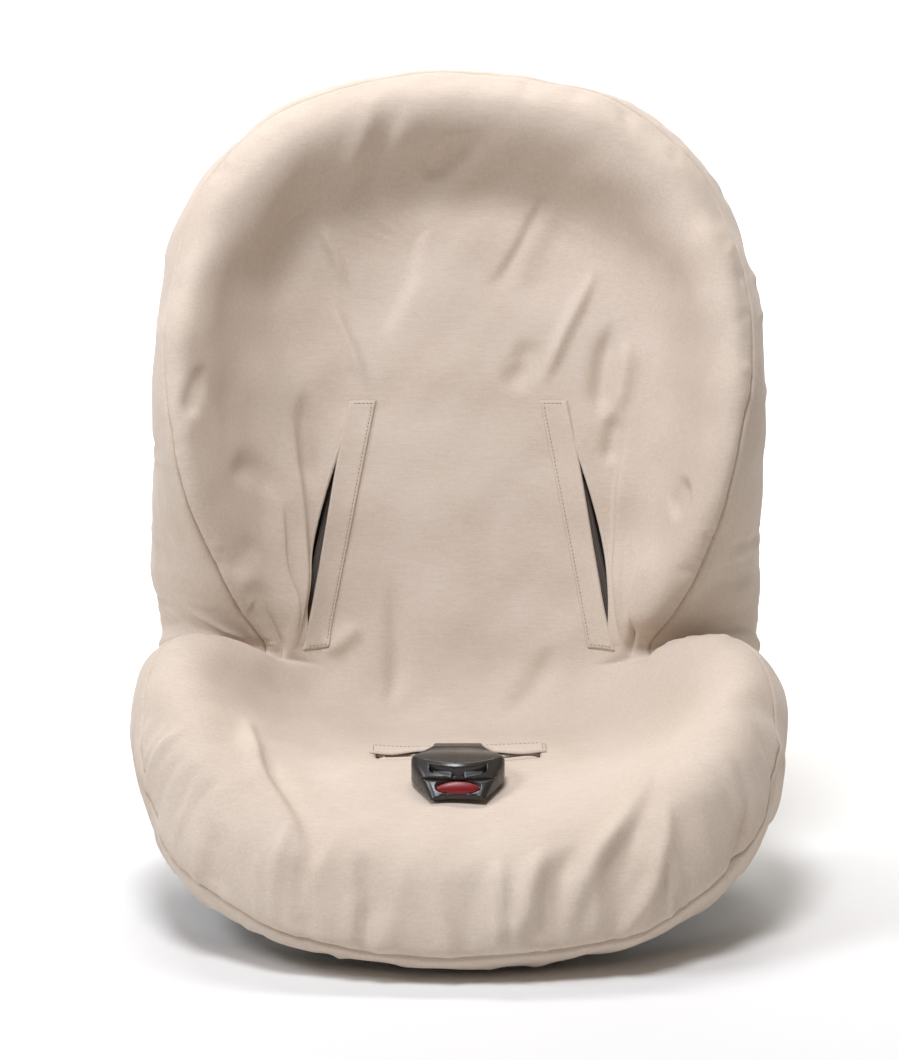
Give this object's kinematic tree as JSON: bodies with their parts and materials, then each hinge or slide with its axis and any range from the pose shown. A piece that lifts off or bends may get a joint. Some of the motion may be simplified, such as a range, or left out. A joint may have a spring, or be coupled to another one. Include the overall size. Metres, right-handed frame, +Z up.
{
  "type": "infant car seat",
  "caption": "Padded bucket car seat for a small child, with side wings, fabric cover, slots for the harness, a crotch buckle and a reclining base.",
  "frame": {"origin": "centre of the whole seat's footprint box, on the floor under the base's rubber feet", "axes": "+Z up, +X across to the left of the child who sits in it, -Y the way the seat faces"},
  "size_m": [0.4782, 0.4775, 0.599],
  "materials": {
    "cover": "matte woven cotton",
    "hem": "matte elastic hem",
    "foam": "matte open cell foam",
    "shell_plastic": "fine moulded grain",
    "base_plastic": "fine moulded grain",
    "webbing": "woven webbing",
    "buckle_plastic": "satin",
    "grey_plastic": "satin",
    "red_plastic": "satin",
    "steel": "zinc plated",
    "rubber": "matte"
  },
  "bodies": {
    "base": {"base_plate": "base_plastic", "rail_left": "grey_plastic", "rail_right": "grey_plastic", "recline_rack": "steel", "foot_front_left": "rubber", "foot_front_right": "rubber", "foot_rear_left": "rubber", "foot_rear_right": "rubber", "lockoff_bracket_left": "base_plastic", "lockoff_pin_left": "steel", "lockoff_bracket_right": "base_plastic", "lockoff_pin_right": "steel"},
    "seat": {"cover_panel": "cover", "cover_side_band": "cover", "hem_elastic": "hem", "slot_flap_left": "cover", "slot_flap_right": "cover", "buckle_slot_flap": "cover", "back_foam": "foam", "seat_foam": "foam", "wing_foam_left": "foam", "wing_foam_right": "foam", "bolster_foam_left": "foam", "bolster_foam_right": "foam", "shell": "shell_plastic", "shoulder_strap_left": "webbing", "shoulder_strap_right": "webbing", "hip_anchor_left": "steel", "hip_anchor_right": "steel", "rear_anchor_bar": "steel", "crotch_strap": "webbing", "crotch_anchor_plate": "steel", "runner_left": "base_plastic", "runner_right": "base_plastic"},
    "buckle": {"buckle_lower_shell": "buckle_plastic", "buckle_upper_shell": "buckle_plastic", "tongue_guide": "grey_plastic", "buckle_sleeve": "webbing"},
    "button": {"release_button": "red_plastic"},
    "recline_latch": {"recline_handle": "base_plastic", "recline_pull_rod": "steel", "recline_pawl": "steel"},
    "slider_left": {"strap_slider_left": "steel"},
    "slider_right": {"strap_slider_right": "steel"},
    "lockoff_left": {"lockoff_lever_left": "grey_plastic"},
    "lockoff_right": {"lockoff_lever_right": "grey_plastic"}
  },
  "joints": [
    {"name": "seat_recline", "type": "hinge", "parent": "base", "child": "seat", "pos_m": [0, -0.02, 0.52], "axis": [-1, 0, 0], "range_deg": [0, 10]},
    {"name": "latch_pull", "type": "slide", "parent": "seat", "child": "recline_latch", "axis": [0, -1, 0], "range_m": [0, 0.009], "stiffness_N_per_m": 600, "springref_m": -0.004},
    {"name": "buckle_swing", "type": "hinge", "parent": "seat", "child": "buckle", "pos_m": [0, -0.08, 0.1236], "axis": [-1, 0, 0], "range_deg": [0, 75]},
    {"name": "button_press", "type": "slide", "parent": "buckle", "child": "button", "axis": [0, 0.9791, 0.2036], "range_m": [0, 0.003], "stiffness_N_per_m": 1500, "springref_m": -0.003},
    {"name": "slider_left_slide", "type": "slide", "parent": "seat", "child": "slider_left", "axis": [0, 0.2956, 0.9553], "range_m": [-0.004, 0.004]},
    {"name": "slider_right_slide", "type": "slide", "parent": "seat", "child": "slider_right", "axis": [0, 0.2956, 0.9553], "range_m": [-0.004, 0.004]},
    {"name": "lockoff_left_hinge", "type": "hinge", "parent": "base", "child": "lockoff_left", "pos_m": [-0.069, 0.19, 0.032], "axis": [-1, 0, 0], "range_deg": [0, 70]},
    {"name": "lockoff_right_hinge", "type": "hinge", "parent": "base", "child": "lockoff_right", "pos_m": [0.069, 0.19, 0.032], "axis": [-1, 0, 0], "range_deg": [0, 70]}
  ]
}
